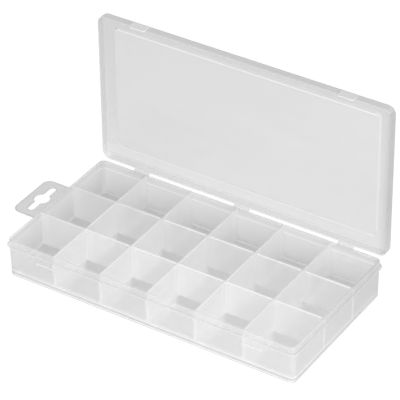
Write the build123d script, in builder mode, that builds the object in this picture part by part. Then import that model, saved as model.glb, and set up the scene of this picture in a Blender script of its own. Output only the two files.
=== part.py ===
from build123d import *
from math import radians, tan
import os

os.makedirs("parts", exist_ok=True)

# Eighteen-compartment organizer box with a hinged lid, all sizes in millimetres.
# The origin is the middle of the foot that the tray stands on, +X runs along the long
# side, +Y points to the hinged side and +Z is up. The lid stands open at a right angle.

# Compartments
columns = 6
rows = 3
cell_length = 38.0
cell_width = 38.0
divider_top = 1.0
divider_draft = 0.5
divider_edge_radius = 0.35

# Tray
tray_height = 30.0
wall = 1.5
wall_draft = 0.8
rim_corner = 4.6
rim_chamfer = 0.35
floor_thickness = 1.8
floor_radius = 0.9
foot_height = 2.0
foot_width = 1.6
foot_edge_radius = 0.9

# Flange round the outside of the tray
flange_drop = 4.4
flange_thickness = 1.1
flange_reach = 1.7
flange_chamfer = 0.35

# Lid, with the heights of the closed lid
lid_side_gap = 0.3
lid_seat_gap = 0.2
skirt_gap = 0.1
skirt_thickness = 1.1
skirt_draft = 1.0
skirt_chamfer = 0.25
panel_thickness = 1.2
panel_edge_radius = 1.1
field_step = 0.8
field_side_margin = 11.0
field_latch_margin = 8.6
field_hinge_margin = 12.0
field_corner = 3.4
field_slope = 45.0
field_wall_shift = 0.5

# Living hinges
hinge_end_margin = 32.4
root_reach = 1.1
root_wide = 28.0
root_narrow = 14.0
root_thickness = 1.1
film_width = 12.5
film_thickness = 0.4
film_bend = 2.6

# Snap lips on the lid and thumb ribs on the tray
latch_end_margin = 33.9
lip_width = 12.5
lip_thickness = 0.95
lip_drop = 2.5
lip_top_drop = 1.4
lip_ramp = 0.9
lip_corner = 1.2
lip_side_gap = 0.8
lip_face_gap = 0.3
notch_depth = 0.9
bead_height = 0.9
bead_gap = 0.15
snap_gap = 0.05
thumb_rib_length = 16.0
thumb_rib_height = 1.3
thumb_rib_reach = 0.6
thumb_rib_drop = 11.2
thumb_rib_chamfer = 0.3

# Hang tab
tab_reach = 20.8
tab_width = 43.0
tab_corner = 6.0
tab_thickness = 1.1
tab_chamfer = 0.25
slot_length = 31.0
slot_width = 5.0
slot_setback = 10.8
slot_hole_radius = 5.8

# How deep a piece is drawn into its neighbour before the neighbour is cut away from it
seat = 0.6

# How far from the floor an edge may lie and still count as an edge of the floor
edge_reach = 0.01

# Sizes that follow from these
inner_half_x = (columns * cell_length - divider_top) / 2
inner_half_y = (rows * cell_width - divider_top) / 2
rim_half_x = inner_half_x + wall
rim_half_y = inner_half_y + wall
flange_top = tray_height - flange_drop
flange_bottom = flange_top - flange_thickness
flange_half_x = rim_half_x + flange_reach
flange_half_y = rim_half_y + flange_reach
floor_top = foot_height + floor_thickness

skirt_edge = flange_top + skirt_gap
field_under = tray_height + lid_seat_gap
border_under = field_under + field_step
lid_top = border_under + panel_thickness
lid_half_x = rim_half_x + lid_side_gap + skirt_thickness
lid_half_y = rim_half_y + lid_side_gap + skirt_thickness
lid_corner = rim_corner + lid_side_gap + skirt_thickness

root_end = flange_half_y + root_reach
film_height = flange_top - film_thickness / 2
hinge_y = root_end + film_bend / 2
hinge_z = film_height + film_bend / 2
hinge_x = lid_half_x - hinge_end_margin
latch_x = lid_half_x - latch_end_margin
hinge_places = {"left": -hinge_x, "middle": 0.0, "right": hinge_x}
latch_places = {"left": -latch_x, "right": latch_x}

# The lid is drawn closed on a plane through the hinge axis: across the lid it measures
# from the axis, and the offset of the plane is a height above the axis.
lid_plane = Plane(origin=(0, hinge_y, hinge_z), x_dir=(1, 0, 0), z_dir=(0, 1, 0))


def wall_run(height):
    # How far the drafted tray wall has moved in below the rim at this height
    return (tray_height - height) * tan(radians(wall_draft))


def rounded(half_x, half_y, corner, grow=0.0):
    return RectangleRounded(2 * (half_x + grow), 2 * (half_y + grow), corner + grow)


def field_outline(grow):
    # Outline of the stepped field in the lid, nearer to the latch side than to the hinges
    middle = (field_latch_margin - field_hinge_margin) / 2
    half_y = lid_half_y - (field_latch_margin + field_hinge_margin) / 2
    with Locations((0, middle - hinge_y)):
        rounded(lid_half_x - field_side_margin, half_y, field_corner, grow)


def lid_section(x):
    # Plane across the lid: first closed Y, then closed Z, both from the hinge axis
    return Plane(origin=(x, hinge_y, hinge_z), x_dir=(0, 0, -1), z_dir=(1, 0, 0))


def divider_profile():
    # Drafted web with a rounded top edge, standing on the tray floor
    foot_half = divider_top / 2 + (tray_height - floor_top + seat) * tan(radians(divider_draft))
    foot = floor_top - seat
    top = (divider_top / 2, tray_height)
    Polygon((-foot_half, foot), (foot_half, foot), top, (-top[0], top[1]), align=None)


def root_profile(y_inner, y_face, y_end):
    # Flared lug of a hinge, seen along its thickness
    wide = root_wide / 2
    narrow = root_narrow / 2
    half = [(wide, y_inner), (wide, y_face), (narrow, y_end)]
    other_half = [(-x, y) for x, y in reversed(half)]
    Polygon(*half, *other_half, align=None)


def write(piece, name):
    piece.label = name
    export_step(piece, f"parts/{name}.step")


# Flange with its chamfered nose, later fused into the tray
with BuildPart() as flange:
    with BuildSketch(Plane.XY.offset(flange_bottom)):
        rounded(flange_half_x, flange_half_y, rim_corner + flange_reach)
    extrude(amount=flange_thickness)
    chamfer(flange.edges().group_by(Axis.Z)[0], flange_chamfer)
    chamfer(flange.edges().group_by(Axis.Z)[-1], flange_chamfer)

# Tray: drafted walls on a foot rim, flange, and a notch in it for each snap lip
with BuildPart() as tray_shell:
    with BuildSketch(Plane.XY):
        rounded(rim_half_x, rim_half_y, rim_corner, -wall_run(0))
    extrude(amount=tray_height, taper=-wall_draft)
    fillet(tray_shell.edges().group_by(Axis.Z)[0], foot_edge_radius)
    add(flange.part)
    with BuildSketch(Plane.XY.offset(floor_top)):
        rounded(rim_half_x, rim_half_y, rim_corner, -wall - wall_run(floor_top))
    extrude(amount=tray_height - floor_top, taper=-wall_draft, mode=Mode.SUBTRACT)
    fillet(
        tray_shell.edges().filter_by_position(Axis.Z, floor_top - edge_reach, floor_top + edge_reach),
        floor_radius,
    )
    chamfer(tray_shell.edges().group_by(Axis.Z)[-1], rim_chamfer)
    with BuildSketch(Plane.XY):
        rounded(rim_half_x, rim_half_y, rim_corner, -foot_width)
    extrude(amount=foot_height, taper=wall_draft, mode=Mode.SUBTRACT)
    with BuildSketch(Plane.XY.offset(flange_bottom)):
        with Locations(*[(x, -flange_half_y) for x in latch_places.values()]):
            Rectangle(lip_width + 2 * lip_side_gap, 2 * notch_depth)
    extrude(amount=flange_thickness, mode=Mode.SUBTRACT)
write(tray_shell.part, "tray_shell")

# Two dividers run the whole length of the tray
long_dividers = []
for row, name in enumerate(["front", "rear"], start=1):
    y = (row - rows / 2) * cell_width
    with BuildPart() as long_divider:
        with BuildSketch(Plane.YZ.offset(-inner_half_x - seat)):
            with Locations((y, 0)):
                divider_profile()
        extrude(amount=2 * (inner_half_x + seat))
        fillet(long_divider.edges().group_by(Axis.Z)[-1].filter_by(Axis.X), divider_edge_radius)
        add(tray_shell.part, mode=Mode.SUBTRACT)
    write(long_divider.part, f"long_divider_{name}")
    long_dividers.append(long_divider.part)

# Five dividers cross it, each cut into panels by the long ones
for column in range(1, columns):
    x = (column - columns / 2) * cell_length
    with BuildPart() as cross_divider:
        with BuildSketch(Plane.XZ.offset(-inner_half_y - seat)):
            with Locations((x, 0)):
                divider_profile()
        extrude(amount=2 * (inner_half_y + seat))
        fillet(cross_divider.edges().group_by(Axis.Z)[-1].filter_by(Axis.Y), divider_edge_radius)
        add(tray_shell.part, mode=Mode.SUBTRACT)
        add(long_dividers, mode=Mode.SUBTRACT)
    write(cross_divider.part, f"cross_divider_{column}")

# Thumb ribs on the front wall, one below each snap lip
rib_z = tray_height - thumb_rib_drop
rib_y = rim_half_y - wall_run(rib_z)
for name, x in latch_places.items():
    rib_plane = Plane(origin=(x, seat - rib_y, rib_z), x_dir=(1, 0, 0), z_dir=(0, -1, 0))
    with BuildPart() as thumb_rib:
        with BuildSketch(rib_plane):
            SlotOverall(thumb_rib_length, thumb_rib_height)
        extrude(amount=seat + thumb_rib_reach)
        chamfer(thumb_rib.faces().sort_by(Axis.Y)[0].edges(), thumb_rib_chamfer)
        add(tray_shell.part, mode=Mode.SUBTRACT)
    write(thumb_rib.part, f"thumb_rib_{name}")

# Hang tab at flange level, with a hang slot right through it
tab_end = -flange_half_x - tab_reach
tab_root = -flange_half_x + seat
with BuildPart() as hang_tab:
    with BuildSketch(Plane.XY.offset(flange_top - tab_thickness)) as tab_outline:
        with Locations(((tab_end + tab_root) / 2, 0)):
            Rectangle(tab_root - tab_end, tab_width)
        fillet(tab_outline.vertices().group_by(Axis.X)[0], tab_corner)
        with Locations((tab_end + slot_setback, 0)):
            SlotOverall(slot_length, slot_width, rotation=90, mode=Mode.SUBTRACT)
            Circle(slot_hole_radius, mode=Mode.SUBTRACT)
    extrude(amount=tab_thickness)
    chamfer(hang_tab.edges().group_by(Axis.Z)[0], tab_chamfer)
    chamfer(hang_tab.edges().group_by(Axis.Z)[-1], tab_chamfer)
    add(tray_shell.part, mode=Mode.SUBTRACT)
write(hang_tab.part, "hang_tab")

# Lid: drafted skirt, flat border and a field stepped down to just above the dividers
with BuildPart() as lid_shell:
    with BuildSketch(lid_plane.offset(skirt_edge - hinge_z)):
        with Locations((0, -hinge_y)):
            rounded(lid_half_x, lid_half_y, lid_corner)
    extrude(amount=lid_top - skirt_edge, taper=skirt_draft)
    fillet(lid_shell.edges().group_by(Axis.Y)[-1], panel_edge_radius)
    with BuildSketch(lid_plane.offset(skirt_edge - hinge_z)):
        with Locations((0, -hinge_y)):
            rounded(lid_half_x, lid_half_y, lid_corner, -skirt_thickness)
    extrude(amount=border_under - skirt_edge, taper=skirt_draft, mode=Mode.SUBTRACT)
    chamfer(lid_shell.edges().group_by(Axis.Y)[0], skirt_chamfer)
    with BuildSketch(lid_plane.offset(lid_top - hinge_z)):
        field_outline(0)
    extrude(amount=-field_step, taper=field_slope, mode=Mode.SUBTRACT)
    with BuildSketch(lid_plane.offset(border_under - hinge_z)):
        field_outline(field_wall_shift)
    extrude(amount=-field_step, taper=field_slope)
write(lid_shell.part, "lid_shell")

# Snap lips hang from the lid's skirt and close over the notched flange
notch_face = flange_half_y - notch_depth
lip_inner = notch_face + lip_face_gap
lip_outer = lip_inner + lip_thickness
lip_top = lid_top - lip_top_drop
lip_bottom = skirt_edge - lip_drop
bead_top = flange_bottom - bead_gap
lip_corners = [
    (seat - lid_half_y, lip_top),
    (-lid_half_y, lip_top),
    (-lip_outer, lip_top - lip_ramp),
    (-lip_outer, lip_bottom),
    (-lip_inner, lip_bottom),
    (-lip_inner, bead_top - bead_height),
    (-notch_face - snap_gap, bead_top - bead_height / 2),
    (-lip_inner, bead_top),
    (-lip_inner, skirt_edge),
    (seat - lid_half_y, skirt_edge),
]
for name, x in latch_places.items():
    with BuildPart() as latch_lip:
        with BuildSketch(lid_section(x - lip_width / 2)):
            Polygon(*[(y - hinge_y, z - hinge_z) for y, z in lip_corners], align=None)
        extrude(amount=lip_width)
        lip_ends = latch_lip.edges().filter_by(Axis.Z).group_by(Axis.Y)[0]
        fillet(lip_ends, lip_corner)
        add(lid_shell.part, mode=Mode.SUBTRACT)
    write(latch_lip.part, f"latch_lip_{name}")

# Hinge roots on both flanks of each film, and the film bent through a right angle
lid_film_height = hinge_z + film_bend / 2
for name, x in hinge_places.items():
    with BuildPart() as tray_root:
        with BuildSketch(Plane.XY.offset(flange_top - root_thickness)) as tray_root_plan:
            with Locations((x, 0)):
                root_profile(flange_half_y - seat, flange_half_y, root_end)
        extrude(amount=root_thickness)
        add(tray_shell.part, mode=Mode.SUBTRACT)
    write(tray_root.part, f"tray_hinge_root_{name}")

    with BuildPart() as lid_root:
        with BuildSketch(lid_plane.offset(lid_film_height - film_thickness / 2 - hinge_z)):
            with Locations((x, -hinge_y)):
                root_profile(lid_half_y - seat, lid_half_y, root_end)
        extrude(amount=root_thickness)
        add(lid_shell.part, mode=Mode.SUBTRACT)
    write(lid_root.part, f"lid_hinge_root_{name}")

    film_middle = Plane(origin=(x, root_end, film_height), x_dir=(0, 1, 0), z_dir=(1, 0, 0))
    with BuildPart() as hinge_film:
        with BuildSketch(film_middle.offset(-film_width / 2)):
            with BuildLine():
                inner = CenterArc((0, film_bend), film_bend - film_thickness / 2, -90, 90)
                outer = CenterArc((0, film_bend), film_bend + film_thickness / 2, -90, 90)
                Line(inner @ 0, outer @ 0)
                Line(inner @ 1, outer @ 1)
            make_face()
        extrude(amount=film_width)
    write(hinge_film.part, f"hinge_film_{name}")
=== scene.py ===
import math

import bpy
from mathutils import Matrix, Vector


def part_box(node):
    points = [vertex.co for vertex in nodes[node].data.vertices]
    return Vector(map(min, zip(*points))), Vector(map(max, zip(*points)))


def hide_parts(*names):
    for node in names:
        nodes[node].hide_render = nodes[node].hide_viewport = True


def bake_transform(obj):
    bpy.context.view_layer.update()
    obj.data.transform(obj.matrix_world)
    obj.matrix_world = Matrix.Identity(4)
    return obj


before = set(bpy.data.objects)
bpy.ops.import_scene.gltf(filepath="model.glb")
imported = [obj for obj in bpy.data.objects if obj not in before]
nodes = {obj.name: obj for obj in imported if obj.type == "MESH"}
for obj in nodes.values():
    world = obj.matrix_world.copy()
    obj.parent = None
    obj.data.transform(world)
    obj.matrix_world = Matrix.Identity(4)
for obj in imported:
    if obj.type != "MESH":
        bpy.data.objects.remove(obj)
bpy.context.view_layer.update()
print("frame loaded,", len(nodes), "moulded pieces")

mm = 0.001
cellPitch = 38  # mm from divider to divider
halfCell = cellPitch / 2
beyond = 1000  # past every edge of the box


# Node helpers

def addSocket(group, label, way, coloured):
    kind = "NodeSocketColor" if coloured else "NodeSocketFloat"
    return group.interface.new_socket(name=label, in_out=way, socket_type=kind)


def newGroup(name, inputs, outputs):
    group = bpy.data.node_groups.new(name, "ShaderNodeTree")
    for label, value in inputs.items():
        addSocket(group, label, "INPUT", isinstance(value, tuple)).default_value = value
    for label in outputs:
        addSocket(group, label, "OUTPUT", label in ("Color", "Light"))
    given = group.nodes.new("NodeGroupInput").outputs
    result = group.nodes.new("NodeGroupOutput").inputs
    return group, given, result


def plug(tree, socket, value):
    if isinstance(value, (int, float, tuple)):
        socket.default_value = value
    else:
        tree.links.new(value, socket)


def useGroup(tree, group, **values):
    node = tree.nodes.new("ShaderNodeGroup")
    node.node_tree = group
    for label, value in values.items():
        plug(tree, node.inputs[label.replace("_", " ")], value)
    return node.outputs


def doMath(tree, operation, a, b=0.0, c=0.0):
    node = tree.nodes.new("ShaderNodeMath")
    node.operation = operation
    for socket, value in zip(node.inputs, (a, b, c)):
        plug(tree, socket, value)
    return node.outputs[0]


def most(tree, first, *others):
    for other in others:
        first = doMath(tree, "MAXIMUM", first, other)
    return first


def times(tree, first, *others):
    for other in others:
        first = doMath(tree, "MULTIPLY", first, other)
    return first


def remap(tree, value, fromLow, fromHigh, toLow, toHigh, kind="LINEAR"):
    node = tree.nodes.new("ShaderNodeMapRange")
    node.interpolation_type = kind
    for index, item in enumerate((value, fromLow, fromHigh, toLow, toHigh)):
        plug(tree, node.inputs[index], item)
    return node.outputs[0]


def blendColour(tree, share, first, second):
    node = tree.nodes.new("ShaderNodeMix")
    node.data_type = "RGBA"  # its colours are inputs 6 and 7 and output 2
    plug(tree, node.inputs["Factor"], share)
    plug(tree, node.inputs[6], first)
    plug(tree, node.inputs[7], second)
    return node.outputs[2]


def noise(tree, vector, scale, detail, roughness):
    node = tree.nodes.new("ShaderNodeTexNoise")
    tree.links.new(vector, node.inputs["Vector"])
    plug(tree, node.inputs["Scale"], scale)
    node.inputs["Detail"].default_value = detail
    node.inputs["Roughness"].default_value = roughness
    return node.outputs["Fac"]


def placeVector(tree, stretch=(1, 1, 1)):
    node = tree.nodes.new("ShaderNodeMapping")
    node.inputs["Scale"].default_value = stretch
    tree.links.new(tree.nodes.new("ShaderNodeTexCoord").outputs["Object"], node.inputs["Vector"])
    return node.outputs["Vector"]


def placeParts(tree):
    split = tree.nodes.new("ShaderNodeSeparateXYZ")
    tree.links.new(tree.nodes.new("ShaderNodeTexCoord").outputs["Object"], split.inputs[0])
    return split.outputs


def grey(value):
    return (value, value, value, 1.0)


# Fine spark-eroded grain of the mould, felt in the gloss and the bump
grainLook = {
    "scale": 2600.0, "detail": 3.0, "roughness": 0.6,
    "patchScale": 90.0, "patchDetail": 2.0, "patchRoughness": 0.5,
    "patchGain": 0.7, "patchLift": 0.15, "from": 0.3, "to": 0.7,
}


def buildFrostGrain():
    look = grainLook
    group, given, result = newGroup(
        "frostGrain", {"Grain Scale": look["scale"], "Smooth": 0.32, "Rough": 0.48},
        ("Height", "Roughness"),
    )
    place = placeVector(group)
    grain = noise(group, place, given["Grain Scale"], look["detail"], look["roughness"])
    patch = noise(group, place, look["patchScale"], look["patchDetail"], look["patchRoughness"])
    mixed = doMath(group, "MULTIPLY_ADD", patch, look["patchGain"], look["patchLift"])
    rough = remap(group, mixed, look["from"], look["to"], given["Smooth"], given["Rough"])
    group.links.new(grain, result["Height"])
    group.links.new(rough, result["Roughness"])
    return group


# Slow haze left by the melt as it filled the mould, drawn out along the box
hazeLook = {
    "scale": 14.0, "amount": 0.06, "stretch": (0.45, 1, 1), "detail": 3.0, "roughness": 0.55,
    "from": 0.3, "to": 0.7,
}


def buildMeltHaze():
    look = hazeLook
    group, given, result = newGroup(
        "meltHaze", {"Haze Scale": look["scale"], "Amount": look["amount"]}, ("Haze",)
    )
    place = placeVector(group, look["stretch"])
    cloud = noise(group, place, given["Haze Scale"], look["detail"], look["roughness"])
    low = doMath(group, "SUBTRACT", 1.0, given["Amount"])
    high = doMath(group, "ADD", 1.0, given["Amount"])
    group.links.new(remap(group, cloud, look["from"], look["to"], low, high), result["Haze"])
    return group


# A wall looks denser where the eye meets it at a slant, because more of it is looked through
def buildWallDensity():
    group, given, result = newGroup(
        "wallDensity", {"Facing": 0.0, "Clear": 0.6, "Haze": 1.0, "Most": 0.9, "Least Slant": 0.2},
        ("Alpha",),
    )
    slant = most(group, doMath(group, "SUBTRACT", 1.0, given["Facing"]), given["Least Slant"])
    depth = doMath(group, "DIVIDE", given["Haze"], slant)
    alpha = doMath(group, "SUBTRACT", 1.0, doMath(group, "POWER", given["Clear"], depth))
    group.links.new(doMath(group, "MINIMUM", alpha, given["Most"]), result["Alpha"])
    return group


# Band between two values, with soft ends
def buildBand():
    group, given, result = newGroup(
        "band", {"Value": 0.0, "Low": 0.0, "High": 1.0, "Soft": 0.3 * mm}, ("Mask",)
    )
    ends = []
    for label, outside, inside in (("Low", 0.0, 1.0), ("High", 1.0, 0.0)):
        before = doMath(group, "SUBTRACT", given[label], given["Soft"])
        after = doMath(group, "ADD", given[label], given["Soft"])
        ends.append(remap(group, given["Value"], before, after, outside, inside, "SMOOTHSTEP"))
    group.links.new(times(group, *ends), result["Mask"])
    return group


# Lines that come back at every wall of the grid
def buildSeams():
    group, given, result = newGroup(
        "seams", {"Value": 0.0, "Pitch": cellPitch * mm, "Half": 0.9 * mm, "Soft": 0.8 * mm},
        ("Mask",),
    )
    near = doMath(group, "PINGPONG", given["Value"], times(group, given["Pitch"], 0.5))
    inner = doMath(group, "SUBTRACT", given["Half"], given["Soft"])
    outer = doMath(group, "ADD", given["Half"], given["Soft"])
    group.links.new(remap(group, near, inner, outer, 1.0, 0.0, "SMOOTHSTEP"), result["Mask"])
    return group


# Line along a rectangle with round corners, and all that lies outside it
def buildOutline():
    group, given, result = newGroup(
        "outline",
        {"Across": 0.0, "Up": 0.0, "Half Across": 0.1, "Half Up": 0.05, "Corner": 0.003,
         "Half": 0.5 * mm},
        ("Mask", "Outside"),
    )
    reach = []
    for label, half in (("Across", "Half Across"), ("Up", "Half Up")):
        core = doMath(group, "SUBTRACT", given[half], given["Corner"])
        reach.append(doMath(group, "SUBTRACT", doMath(group, "ABSOLUTE", given[label]), core))
    out = [most(group, value, 0.0) for value in reach]
    squares = doMath(group, "MULTIPLY_ADD", out[0], out[0], times(group, out[1], out[1]))
    inside = doMath(group, "MINIMUM", most(group, *reach), 0.0)
    away = doMath(group, "ADD", doMath(group, "SQRT", squares), inside)
    away = doMath(group, "SUBTRACT", away, given["Corner"])
    double = times(group, given["Half"], 2.0)
    group.links.new(remap(group, away, 0.0, double, 0.0, 1.0, "SMOOTHSTEP"), result["Outside"])
    away = doMath(group, "ABSOLUTE", away)
    group.links.new(remap(group, away, 0.0, double, 1.0, 0.0, "SMOOTHSTEP"), result["Mask"])
    return group


# Body colour, blended towards a painted highlight colour (also given off as a faint glow) where
# light would gather in an edge, and towards a painted shade colour where less light would reach
def buildFrostTone():
    group, given, result = newGroup(
        "frostTone",
        {"Body": grey(0.7), "Edge": grey(0.9), "Deep": grey(0.5),
         "Glow": 0.0, "Shade": 0.0, "Haze": 1.0},
        ("Color", "Light"),
    )
    hazy = group.nodes.new("ShaderNodeVectorMath")
    hazy.operation = "SCALE"
    group.links.new(given["Body"], hazy.inputs[0])
    group.links.new(given["Haze"], hazy.inputs["Scale"])
    # painted shade: the body colour blends towards the shade colour by the Shade share
    body = blendColour(group, given["Shade"], hazy.outputs[0], given["Deep"])
    # painted highlight: the colour blends towards the edge colour by the Glow share, and the same
    # goes to the emission as a painted glow
    for under, label in ((body, "Color"), (grey(0.0), "Light")):
        group.links.new(blendColour(group, given["Glow"], under, given["Edge"]), result[label])
    return group


frostGrain = buildFrostGrain()
meltHaze = buildMeltHaze()
wallDensity = buildWallDensity()
band = buildBand()
seams = buildSeams()
outline = buildOutline()
frostTone = buildFrostTone()
print("effects ready")


# Masks measured in mm on the object

def between(tree, value, low, high=beyond, soft=0.3):
    sizes = {"Low": low * mm, "High": high * mm, "Soft": soft * mm}
    return useGroup(tree, band, Value=value, **sizes)["Mask"]


def fade(tree, value, low, high, atLow, atHigh):
    return remap(tree, value, low * mm, high * mm, atLow, atHigh)


def seamMask(tree, value, half, soft):
    return useGroup(tree, seams, Value=value, Half=half * mm, Soft=soft * mm)["Mask"]


def frameMasks(tree, across, up, halfAcross, halfUp, corner):
    sizes = {"Half_Across": halfAcross * mm, "Half_Up": halfUp * mm, "Corner": corner * mm}
    return useGroup(tree, outline, Across=across, Up=up, **sizes)


def cellShare(tree, value):
    # 0 at the near divider of a cell, 1 at the far one
    cell = cellPitch * mm
    lifted = doMath(tree, "ADD", value, 10 * cell)  # whole cells, so that it is never below zero
    return doMath(tree, "DIVIDE", doMath(tree, "MODULO", lifted, cell), cell)


def frostedPlastic(name, look, lightAndShade=None):
    material = bpy.data.materials.new(name)
    material.use_nodes = True
    tree = material.node_tree
    shader = tree.nodes["Principled BSDF"]
    shader.inputs["IOR"].default_value = look["ior"]

    grain = useGroup(tree, frostGrain, Smooth=look["smooth"], Rough=look["rough"])
    tree.links.new(grain["Roughness"], shader.inputs["Roughness"])
    bump = tree.nodes.new("ShaderNodeBump")
    bump.inputs["Strength"].default_value = look["bump"]
    bump.inputs["Distance"].default_value = look["bumpDepth"] * mm
    tree.links.new(grain["Height"], bump.inputs["Height"])
    tree.links.new(bump.outputs["Normal"], shader.inputs["Normal"])

    # the piece's painted highlight and painted shade, as shares
    glow, shade = lightAndShade(tree) if lightAndShade else (0.0, 0.0)
    haze = useGroup(tree, meltHaze, Amount=look["haze"])["Haze"]
    tone = useGroup(
        tree, frostTone, Body=grey(look["body"]), Edge=grey(look["edge"]), Deep=grey(look["deep"]),
        Glow=glow, Shade=shade, Haze=haze,
    )
    tree.links.new(tone["Color"], shader.inputs["Base Color"])
    # painted glow: the painted highlight colour is also given off as light
    tree.links.new(tone["Light"], shader.inputs["Emission Color"])
    shader.inputs["Emission Strength"].default_value = look["paintedGlow"]

    # where a highlight or shade is painted, the plastic is also made denser
    painted = most(tree, glow, shade)
    clear = remap(tree, painted, 0.0, 1.0, look["clear"], look["edgeClear"])
    facing = tree.nodes.new("ShaderNodeLayerWeight").outputs["Facing"]
    density = useGroup(tree, wallDensity, Facing=facing, Clear=clear, Haze=haze, Most=look["most"])
    path = tree.nodes.new("ShaderNodeLightPath").outputs["Is Camera Ray"]
    soften = remap(tree, path, 0.0, 1.0, look["shadow"], 1.0)  # scattered light still gets through
    tree.links.new(times(tree, density["Alpha"], soften), shader.inputs["Alpha"])
    return material


# Painted highlights, also given off as a faint glow, stand for light gathering in the rim, the
# flange nose, the ledge and where a divider or the floor meets the wall. Painted shade stands for
# light coming from the front, so the rear and the depth of the box stay darker. Each cell's floor
# is painted dark behind a slanting lighter strip, and painted shade darkens the bottom of the outer
# wall, the wall at its heel and the rear left corner.
trayLightAndShade = {
    # places in mm
    "rim": 29.2, "flange": 24.4, "floor": 3.8, "slabTop": 4.1, "sideTop": 29,
    "wallX": 113.0, "wallY": 56.0, "outerX": 115.4, "outerY": 58.4,
    "insideX": 108, "insideY": 50, "insideSoft": 1.0, "frontY": -54.5, "rearY": 50,
    "seamsX": 100, "seamsY": 40, "seamHalf": 1.1, "seamSoft": 0.9,
    "bandLow": 4.3, "bandTop": 5.6, "bandSoft": 0.5,
    "ledgeLow": 23.8, "ledgeHigh": 24.8, "heelLow": 3.6, "heelTop": 6.3, "lineSoft": 0.4,
    "cornerX": 110.9, "cornerY": 53.6, "cornerSoft": 0.6,
    "slabLow": 2.4, "slabHigh": 3.7, "toeTop": 0.4,
    # painted highlight, as shares
    "rimFront": 0.15, "rimGlow": 0.5, "rearGlow": 0.1, "noseGlow": 0.3, "seamGlow": 0.35,
    "sideGlow": 0.4, "bandGlow": 0.6, "ledgeGlow": 0.45, "ledgeLeft": 0.15,
    # painted shade, as shares
    "slabShade": 0.9, "toeShade": 0.45, "heelShade": 0.75, "cornerShade": 0.7,
    "floorFront": 0.5, "floorRear": 0.65, "floorRight": 0.75, "floorRearRight": 0.5,
    "patchLeft": 1.15, "patchRight": 0.85, "patchStart": 0.17, "patchSlope": 0.5,
    "patchSoft": 0.035, "patchRest": 0.3,
    "rearLow": 0.7, "rearTop": 0.45, "cellLeft": 0.8, "cellRight": 1.1,
    "leftLow": 0.6, "leftTop": 0.3, "endFront": 0.2, "endRear": 0.5,
}


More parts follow.
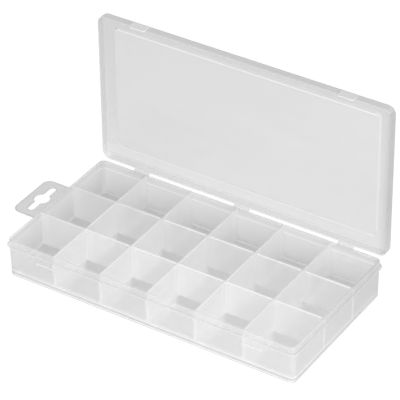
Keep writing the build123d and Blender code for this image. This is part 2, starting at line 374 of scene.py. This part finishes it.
def paintTrayLightAndShade(tree):
    look = trayLightAndShade
    x, y, z = placeParts(tree)
    besideX = doMath(tree, "ABSOLUTE", x)
    besideY = doMath(tree, "ABSOLUTE", y)
    row = doMath(tree, "ADD", y, halfCell * mm)  # the long dividers stand half a cell off
    inCell = cellShare(tree, x)

    def toRear(atFront, atRear):
        return fade(tree, y, look["frontY"], look["rearY"], atFront, atRear)

    def upward(atFloor, atFlange):
        return fade(tree, z, look["floor"], look["flange"], atFloor, atFlange)

    def acrossCell(atLeft, atRight):
        return remap(tree, inCell, 0.0, 1.0, atLeft, atRight)

    endWall = between(tree, besideX, look["wallX"], look["outerX"])
    longWall = between(tree, besideY, look["wallY"], look["outerY"])
    wall = most(tree, endWall, longWall)
    behind = between(tree, y, look["insideY"], beyond, look["insideSoft"])
    beside = between(tree, x, -beyond, -look["insideX"], look["insideSoft"])
    above = between(tree, z, look["slabTop"])
    lit = toRear(1.0, look["rearGlow"])

    # painted highlights on the rim, the flange nose, the seams, the floor junction and the ledge
    rim = times(
        tree, between(tree, z, look["rim"]),
        fade(tree, y, -look["wallY"], look["frontY"], look["rimFront"], look["rimGlow"]), lit,
    )
    ends, sides = between(tree, besideX, look["outerX"]), between(tree, besideY, look["outerY"])
    nose = times(tree, most(tree, ends, sides), look["noseGlow"])
    acrossSeam = times(
        tree, between(tree, y, -look["outerY"], -look["wallY"]),
        seamMask(tree, x, look["seamHalf"], look["seamSoft"]),
        between(tree, besideX, -beyond, look["seamsX"]),
        between(tree, z, look["floor"], look["flange"]), look["seamGlow"],
    )
    alongSeam = times(
        tree, between(tree, x, look["wallX"], look["outerX"]),
        seamMask(tree, row, look["seamHalf"], look["seamSoft"]),
        between(tree, besideY, -beyond, look["seamsY"]),
        between(tree, z, look["floor"], look["sideTop"]), look["sideGlow"],
    )
    junction = times(
        tree, between(tree, z, look["bandLow"], look["bandTop"], look["bandSoft"]),
        wall, lit, look["bandGlow"],
    )
    ledge = times(
        tree, between(tree, z, look["ledgeLow"], look["ledgeHigh"], look["lineSoft"]), wall,
        most(tree, times(tree, behind, look["ledgeGlow"]), times(tree, beside, look["ledgeLeft"])),
    )
    glow = most(tree, rim, nose, acrossSeam, alongSeam, junction, ledge)

    # painted shade along the bottom of the outer wall
    slab = times(tree, between(tree, z, look["slabLow"], look["slabHigh"]), look["slabShade"])
    toe = times(tree, between(tree, z, -beyond, look["toeTop"]), look["toeShade"])
    footShade = times(tree, most(tree, slab, toe), wall)

    # painted shade on each cell's floor, left lighter in a slanting strip by the near divider
    toRight = toRear(look["floorRight"], look["floorRearRight"])
    ahead = doMath(tree, "SUBTRACT", 1.0, cellShare(tree, row))
    begin = doMath(tree, "MINIMUM", times(tree, ahead, look["patchSlope"]), look["patchStart"])
    patch = doMath(tree, "SUBTRACT", inCell, begin)
    patch = useGroup(tree, band, Value=patch, High=beyond, Soft=look["patchSoft"])["Mask"]
    floorShade = times(
        tree, doMath(tree, "SUBTRACT", 1.0, wall), between(tree, z, -beyond, look["slabTop"]),
        toRear(look["floorFront"], look["floorRear"]),
        fade(tree, x, -look["seamsX"], look["seamsX"], 1.0, toRight),
        acrossCell(look["patchLeft"], look["patchRight"]),
        remap(tree, patch, 0.0, 1.0, look["patchRest"], 1.0),
    )

    # painted shade on the rear wall, the inner end walls, the heel and the rear left corner
    rear = times(
        tree, behind, upward(look["rearLow"], look["rearTop"]),
        acrossCell(look["cellLeft"], look["cellRight"]), above,
    )
    pastFront = times(tree, between(tree, y, look["frontY"], beyond, look["insideSoft"]), above)
    right = times(
        tree, between(tree, x, look["insideX"], beyond, look["insideSoft"]),
        toRear(look["endFront"], look["endRear"]), pastFront,
    )
    left = times(tree, beside, upward(look["leftLow"], look["leftTop"]), pastFront)
    heel = times(
        tree, between(tree, z, look["heelLow"], look["heelTop"], look["lineSoft"]),
        most(tree, behind, beside), look["heelShade"],
    )
    corner = times(
        tree, between(tree, y, look["cornerY"], beyond, look["cornerSoft"]),
        between(tree, x, -beyond, -look["cornerX"], look["cornerSoft"]), above, look["cornerShade"],
    )
    return glow, most(tree, footShade, floorShade, rear, right, left, heel, corner)


# Painted highlights, also given off as a faint glow, lie along the top edges, in the end faces of
# the cross dividers and round each crossing. Painted shade darkens the webs towards the rear, the
# right and the far side of each cell.
dividerLightAndShade = {
    # places in mm
    "top": 29.3, "base": 4.8, "baseSoft": 0.5, "lowZ": 4.0, "highZ": 24.0,
    "frontY": -50, "rearY": 50, "fadeY": 15, "acrossFront": 5, "acrossRear": 35,
    "longFrom": -85, "longTo": -25, "secondLow": 17.0, "secondHigh": 21.0, "rowY": 21.0,
    "firstX": -76, "middleX": 20, "rightX": 110,
    "crossShift": 4.0, "crossHalf": 4.0, "crossSoft": 4.0, "lineHalf": 1.6, "lineSoft": 1.5,
    # painted highlight, as shares
    "topGlow": 0.52, "topRear": 0.25, "longLeft": 0.5, "longRight": 0.95,
    "crossGlow": 0.28, "lineGlow": 0.3, "baseGlow": 0.12,
    "acrossLow": 0.4, "acrossHigh": 0.12, "acrossLeast": 0.2,
    # share of a cell's width
    "crossEdge": 0.04, "edgeSoft": 0.01, "cellStart": 0.25,
    # painted shade, as shares
    "frontShade": 0.0, "rearShade": 0.25, "rightShade": 0.38, "cellShade": 0.45, "cellRear": 0.7,
    "cellTop": 0.5, "firstLeft": 0.3, "firstRight": 0.0, "secondBase": 0.28, "secondTop": 0.42,
    "rowLow": 0.6, "rowHigh": 0.2,
}


def paintDividerLightAndShade(tree):
    look = dividerLightAndShade
    x, y, z = placeParts(tree)
    inCell = cellShare(tree, x)
    edge = look["crossEdge"]
    along = useGroup(
        tree, band, Value=inCell, Low=edge, High=1.0 - edge, Soft=look["edgeSoft"]
    )["Mask"]  # the long dividers, away from the cross ones

    def upward(atLow, atHigh):
        return fade(tree, z, look["lowZ"], look["highZ"], atLow, atHigh)

    def crossings(half, soft, shift=0.0):
        column = doMath(tree, "SUBTRACT", x, shift * mm)
        row = doMath(tree, "ADD", y, (halfCell + shift) * mm)
        return times(tree, seamMask(tree, column, half, soft), seamMask(tree, row, half, soft))

    # painted highlights on the top edges, round the crossings, at the base and on the cross
    # dividers' ends
    longLight = fade(tree, x, look["longFrom"], look["longTo"], look["longLeft"], look["longRight"])
    topLight = most(
        tree, fade(tree, y, look["fadeY"], look["rearY"], look["topGlow"], look["topRear"]),
        times(tree, along, longLight),
    )
    top = times(tree, between(tree, z, look["top"]), topLight)
    crossingGlow = crossings(look["crossHalf"], look["crossSoft"], look["crossShift"])
    line = crossings(look["lineHalf"], look["lineSoft"])
    base = times(
        tree, between(tree, z, -beyond, look["base"], look["baseSoft"]),
        fade(tree, y, 0.0, look["rearY"], look["baseGlow"], 0.0),
    )
    across = times(
        tree, doMath(tree, "SUBTRACT", 1.0, along), upward(look["acrossLow"], look["acrossHigh"]),
        fade(tree, y, look["acrossFront"], look["acrossRear"], 1.0, look["acrossLeast"]),
    )
    glow = most(
        tree, top, times(tree, crossingGlow, look["crossGlow"]), times(tree, line, look["lineGlow"]),
        base, across,
    )

    # painted shade towards the rear, the right, in the rear row and on the far side of each cell
    toRear = fade(tree, y, look["frontY"], look["rearY"], look["frontShade"], look["rearShade"])
    toRight = fade(tree, x, look["middleX"], look["rightX"], 0.0, look["rightShade"])
    second = times(
        tree, between(tree, y, look["secondLow"], look["secondHigh"]),
        upward(look["secondBase"], look["secondTop"]),
    )
    rearRow = times(tree, between(tree, y, look["rowY"]), upward(look["rowLow"], look["rowHigh"]))
    pastFirst = between(tree, x, look["firstX"])
    farSide = times(
        tree, remap(tree, inCell, look["cellStart"], 1.0, 0.0, look["cellShade"]), along, pastFirst,
        fade(tree, y, -halfCell, halfCell, 1.0, look["cellRear"]), upward(1.0, look["cellTop"]),
    )
    first = times(
        tree, doMath(tree, "SUBTRACT", 1.0, pastFirst),
        fade(tree, x, -3 * cellPitch, look["firstX"], look["firstLeft"], look["firstRight"]),
    )
    return glow, most(tree, toRear, second, rearRow, farSide, toRight, first)


# Painted highlight on the step round the field but for its right side, on the skirt, in a lighter
# strip below and in the low part of the field; painted shade on a border that darkens upwards and
# to the right. The lid stands open, so up is the way out.
lidLightAndShade = {
    # places in mm
    "middle": 88.9, "halfAcross": 105.4, "halfUp": 49.1, "corner": 3.4, "panel": 65.8,
    "skirtUp": 56.5, "borderSoft": 0.8, "stepX": 103.4, "stepSoft": 1.0,
    "rightFrom": 106, "rightTo": 114, "fieldFrom": 30, "fieldMiddle": -15,
    # painted highlight, as shares
    "stepGlow": 0.5, "stepRight": 0.05, "skirtGlow": 0.5, "skirtTop": 0.3, "borderGlow": 0.3,
    "borderRight": 0.5, "fieldLow": 0.12,
    # painted shade, as shares
    "stepShade": 0.2, "borderLow": 0.0, "borderTop": 0.4, "upShade": 0.16,
    "rightLow": 0.12, "rightHigh": 0.7, "fieldRight": 0.14,
}


def paintLidLightAndShade(tree):
    look = lidLightAndShade
    x, y, z = placeParts(tree)
    up = doMath(tree, "SUBTRACT", z, look["middle"] * mm)
    field = frameMasks(tree, x, up, look["halfAcross"], look["halfUp"], look["corner"])

    # painted highlights on the step, the skirt, the lower strip and the low field
    onRight = between(tree, x, look["stepX"], beyond, look["stepSoft"])
    step = times(
        tree, field["Mask"], remap(tree, onRight, 0.0, 1.0, look["stepGlow"], look["stepRight"])
    )
    skirt = times(
        tree, between(tree, doMath(tree, "ABSOLUTE", up), look["skirtUp"]),
        between(tree, y, 0.0, look["panel"]),
        fade(tree, up, 0.0, look["halfUp"], look["skirtGlow"], look["skirtTop"]),
    )
    strip = times(
        tree, between(tree, up, -look["skirtUp"], -look["halfUp"], look["borderSoft"]),
        fade(tree, x, 0.0, look["halfAcross"], 1.0, look["borderRight"]), look["borderGlow"],
    )
    lowField = fade(tree, up, -look["halfUp"], look["fieldMiddle"], look["fieldLow"], 0.0)

    # painted shade upwards, on the border, at the right end and on the step's right side
    upper = fade(tree, up, 0.0, look["halfUp"], 0.0, look["upShade"])
    border = times(
        tree, field["Outside"],
        fade(tree, up, -look["halfUp"], look["halfUp"], look["borderLow"], look["borderTop"]),
    )
    rightEnd = times(
        tree, between(tree, x, look["rightFrom"]),
        fade(tree, x, look["rightFrom"], look["rightTo"], look["rightLow"], look["rightHigh"]),
    )
    stepShade = times(tree, field["Mask"], onRight, look["stepShade"])
    rightField = fade(tree, x, look["fieldFrom"], look["halfAcross"], 0.0, look["fieldRight"])
    return (
        most(tree, step, skirt, strip, lowField),
        most(tree, upper, border, rightEnd, stepShade, rightField),
    )


# Painted shade: a thin dark line round the tab's edge and round its slot, which has a round hole in
# the middle
tabShade = {
    "middle": -120.0, "halfAcross": 21.3, "halfOut": 17.3, "corner": 6.0, "edgeShade": 0.8,
    "slotX": -126.7, "slotAcross": 15.5, "slotOut": 2.5, "hole": 5.8, "slotShade": 0.6,
}


def paintTabShade(tree):
    look = tabShade
    x, y = placeParts(tree)[:2]
    out = doMath(tree, "SUBTRACT", x, look["middle"] * mm)
    edge = frameMasks(tree, y, out, look["halfAcross"], look["halfOut"], look["corner"])["Mask"]
    fromSlot = doMath(tree, "SUBTRACT", x, look["slotX"] * mm)
    openings = []
    for halfLong, halfWide in (("slotAcross", "slotOut"), ("hole", "hole")):
        sizes = look[halfLong], look[halfWide], look[halfWide]
        openings.append(frameMasks(tree, y, fromSlot, *sizes)["Mask"])
    around = times(tree, most(tree, *openings), look["slotShade"])
    return 0.0, most(tree, times(tree, edge, look["edgeShade"]), around)


# One plastic for the whole box; each piece changes what differs in it. Its body tone is painted
# light and shade, lightest on the dividers and darkest on the lid
# besides the body tone, one tone is for the painted highlights (edge) and one for the painted shade
frosted = {
    "body": 0.9, "edge": 0.94, "deep": 0.55, "ior": 1.49, "smooth": 0.34, "rough": 0.5,
    "bump": 0.25, "bumpDepth": 0.02, "haze": 0.04, "clear": 0.7, "edgeClear": 0.35, "most": 0.94,
    "shadow": 0.2, "paintedGlow": 0.14,
}
unlit = {**frosted, "paintedGlow": 0.0}  # no painted glow in these
trayPlastic = frostedPlastic("trayPlastic", {**frosted, "body": 0.88, "clear": 0.76}, paintTrayLightAndShade)
dividerPlastic = frostedPlastic(
    "dividerPlastic", {**frosted, "body": 0.98, "clear": 0.74}, paintDividerLightAndShade
)
lidPlastic = frostedPlastic("lidPlastic", {**frosted, "body": 0.73, "clear": 0.6}, paintLidLightAndShade)
tabPlastic = frostedPlastic("tabPlastic", {**unlit, "body": 0.87, "clear": 0.5}, paintTabShade)
filmPlastic = frostedPlastic("filmPlastic", {**unlit, "body": 0.86, "clear": 0.12, "rough": 0.4})
rootPlastic = frostedPlastic("rootPlastic", {**unlit, "body": 0.92, "clear": 0.35})
ribPlastic = frostedPlastic("ribPlastic", {**unlit, "body": 0.92, "clear": 0.25})


def finishFor(name):
    if "divider" in name:
        return dividerPlastic
    if "hinge_root" in name:
        return rootPlastic
    if name.startswith(("thumb_rib", "latch_lip")):
        return ribPlastic
    if name.startswith("lid"):
        return lidPlastic
    return tabPlastic if name == "hang_tab" else trayPlastic


for name, node in nodes.items():
    node.data.materials.clear()
    node.data.materials.append(finishFor(name))
print("plastics mixed")


# Hinge films: a web that is thinnest in the middle, bent between tray and lid
filmLook = {"steps": 24, "across": 14, "thickness": 0.4, "thinnest": 0.55}


def makeFilm(side):
    low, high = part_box("hinge_film_" + side)
    steps, columns = filmLook["steps"], filmLook["across"]
    thickness = filmLook["thickness"] * mm
    bend = (high.y - low.y) - thickness / 2
    ring = []  # one cut through the web, inner and outer point by turns
    for step in range(steps + 1):
        share = step / steps
        angle = -math.pi / 2 + share * math.pi / 2
        thin = 1 - (1 - filmLook["thinnest"]) * math.sin(math.pi * share) ** 2
        for radius in (bend - thickness / 2 * thin, bend + thickness / 2 * thin):
            ring.append((low.y + radius * math.cos(angle), high.z + radius * math.sin(angle)))
    points = []
    for column in range(columns + 1):
        x = low.x + (high.x - low.x) * column / columns
        points += [(x, y, z) for y, z in ring]

    size = len(ring)
    faces = []
    for column in range(columns):
        a, b = column * size, (column + 1) * size
        for i in range(0, 2 * steps, 2):
            faces.append((a + i, a + i + 2, b + i + 2, b + i))
            faces.append((a + i + 1, b + i + 1, b + i + 3, a + i + 3))
        faces.append((a, b, b + 1, a + 1))
        faces.append((a + size - 2, a + size - 1, b + size - 1, b + size - 2))
    for i in range(0, 2 * steps, 2):
        j = columns * size + i
        faces.append((i, i + 1, i + 3, i + 2))
        faces.append((j, j + 2, j + 3, j + 1))

    mesh = bpy.data.meshes.new("bentFilm_" + side)
    mesh.from_pydata(points, [], faces)
    mesh.update()
    for polygon in mesh.polygons:
        polygon.use_smooth = True
    mesh.materials.append(filmPlastic)
    film = bpy.data.objects.new("bentFilm_" + side, mesh)
    bpy.context.scene.collection.objects.link(film)
    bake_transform(film)
    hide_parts("hinge_film_" + side)


for side in ("left", "middle", "right"):
    makeFilm(side)
print("hinge films bent")


# Floor, world and light
studio = {
    "world": 0.5, "floorColour": 0.8, "floorLift": 0.5, "floorRough": 0.9, "floorSize": 3.0,
    "floorDrop": 0.05,
}


def whiteToTheEye(tree, lit, seen):
    # The camera, reflections and see-through rays meet white, all else meets the lit colour
    path = tree.nodes.new("ShaderNodeLightPath").outputs
    direct = most(tree, path["Is Camera Ray"], path["Is Glossy Ray"], path["Is Transmission Ray"])
    return remap(tree, direct, 0.0, 1.0, lit, seen)


world = bpy.data.worlds.new("studio")
bpy.context.scene.world = world
world.use_nodes = True
background = world.node_tree.nodes["Background"]
background.inputs["Color"].default_value = grey(1.0)
world.node_tree.links.new(
    whiteToTheEye(world.node_tree, studio["world"], 1.0), background.inputs["Strength"]
)

floorMesh = bpy.data.meshes.new("floor")
half = studio["floorSize"]
drop = -studio["floorDrop"] * mm
corners = ((-half, -half), (half, -half), (half, half), (-half, half))
floorMesh.from_pydata([(x, y, drop) for x, y in corners], [], [(0, 1, 2, 3)])
floor = bpy.data.objects.new("floor", floorMesh)
bpy.context.scene.collection.objects.link(floor)
floorPaint = bpy.data.materials.new("floorPaint")
floorPaint.use_nodes = True
floorTree = floorPaint.node_tree
shader = floorTree.nodes["Principled BSDF"]
shader.inputs["Base Color"].default_value = grey(studio["floorColour"])
shader.inputs["Roughness"].default_value = studio["floorRough"]
shader.inputs["Emission Color"].default_value = grey(1.0)
floorTree.links.new(
    whiteToTheEye(floorTree, 0.0, studio["floorLift"]), shader.inputs["Emission Strength"]
)
floorMesh.materials.append(floorPaint)

keyLamp = {"place": (1.26, -1.55, 0.93), "aim": (0, 0, 0.03), "size": 1.6, "power": 29.2}
lampData = bpy.data.lights.new("key", "AREA")
lampData.shape = "SQUARE"
lampData.size = keyLamp["size"]
lampData.energy = keyLamp["power"]
lamp = bpy.data.objects.new("key", lampData)
lamp.location = keyLamp["place"]
lamp.rotation_euler = (Vector(keyLamp["aim"]) - lamp.location).to_track_quat("-Z", "Y").to_euler()
bpy.context.scene.collection.objects.link(lamp)
print("studio lit")


# Camera
eye = {
    "place": (0.7570, -1.1569, 1.0416),
    "right": (0.84248, 0.53864, -0.00979),
    "up": (-0.30278, 0.48844, 0.81838),
    "lens": 226.04,
    "sensor": 36,
    "farthest": 20,
    "walls": 32,  # how many it can look through
}
cameraData = bpy.data.cameras.new("camera")
cameraData.sensor_width = eye["sensor"]
cameraData.lens = eye["lens"]
cameraData.clip_end = eye["farthest"]
camera = bpy.data.objects.new("camera", cameraData)
right = Vector(eye["right"]).normalized()
back = right.cross(Vector(eye["up"])).normalized()
up = back.cross(right)
turn = Matrix((right, up, back)).transposed().to_4x4()
camera.matrix_world = Matrix.Translation(Vector(eye["place"])) @ turn
bpy.context.scene.collection.objects.link(camera)
bpy.context.scene.camera = camera
bpy.context.scene.view_settings.view_transform = "Standard"
bpy.context.scene.cycles.transparent_max_bounces = eye["walls"]
print("camera placed")
